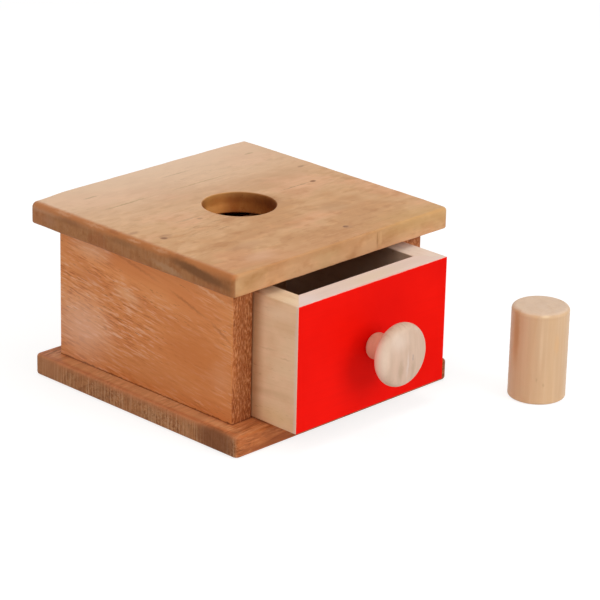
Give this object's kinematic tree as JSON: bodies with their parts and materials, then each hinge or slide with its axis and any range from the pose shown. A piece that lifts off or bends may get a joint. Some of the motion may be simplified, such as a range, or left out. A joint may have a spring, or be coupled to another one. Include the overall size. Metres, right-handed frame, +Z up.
{
  "type": "object permanence box with drawer and peg",
  "caption": "Wooden toy box with a round hole in its overhanging top board, a sliding drawer with a red front and turned knob, and a loose round peg that drops through the hole.",
  "frame": {"origin": "on the axis of the round hole, at the underside of the base board", "axes": "+Z up, the drawer opens toward -Y, X along the drawer front"},
  "size_m": [0.1971, 0.2242, 0.099],
  "materials": {
    "base_wood": "oiled reddish-brown board, eased edges",
    "wall_wood": "oiled reddish-brown board with pores",
    "top_wood": "oiled light tan board, eased edges",
    "drawer_wood": "bare pale wood, sanded",
    "front_paint": "satin red paint on the outer face, bare pale wood on the edges",
    "panel_wood": "thin pale plywood",
    "knob_wood": "turned pale wood, smooth",
    "peg_wood": "turned light wood, smooth",
    "dowel_wood": "bare fluted-dowel wood",
    "steel": "zinc-plated"
  },
  "bodies": {
    "case": {"base_board": "base_wood", "left_wall": "wall_wood", "right_wall": "wall_wood", "back_wall": "wall_wood", "top_board": "top_wood", "base_screws": "steel", "top_dowels": "dowel_wood", "back_dowels": "dowel_wood"},
    "drawer": {"drawer_front": "front_paint", "drawer_left_side": "drawer_wood", "drawer_right_side": "drawer_wood", "drawer_back": "drawer_wood", "drawer_bottom": "panel_wood", "mitre_splines": "dowel_wood", "back_brads": "steel", "knob": "knob_wood", "knob_screw": "steel"},
    "peg": {"peg": "peg_wood"}
  },
  "joints": [
    {"name": "drawer_slide", "type": "slide", "parent": "case", "child": "drawer", "axis": [0, -1, 0], "range_m": [-0.032, 0.05]},
    {"name": "peg_lift", "type": "slide", "parent": "case", "child": "peg", "axis": [0, 0, 1], "range_m": [0, 0.12]}
  ]
}
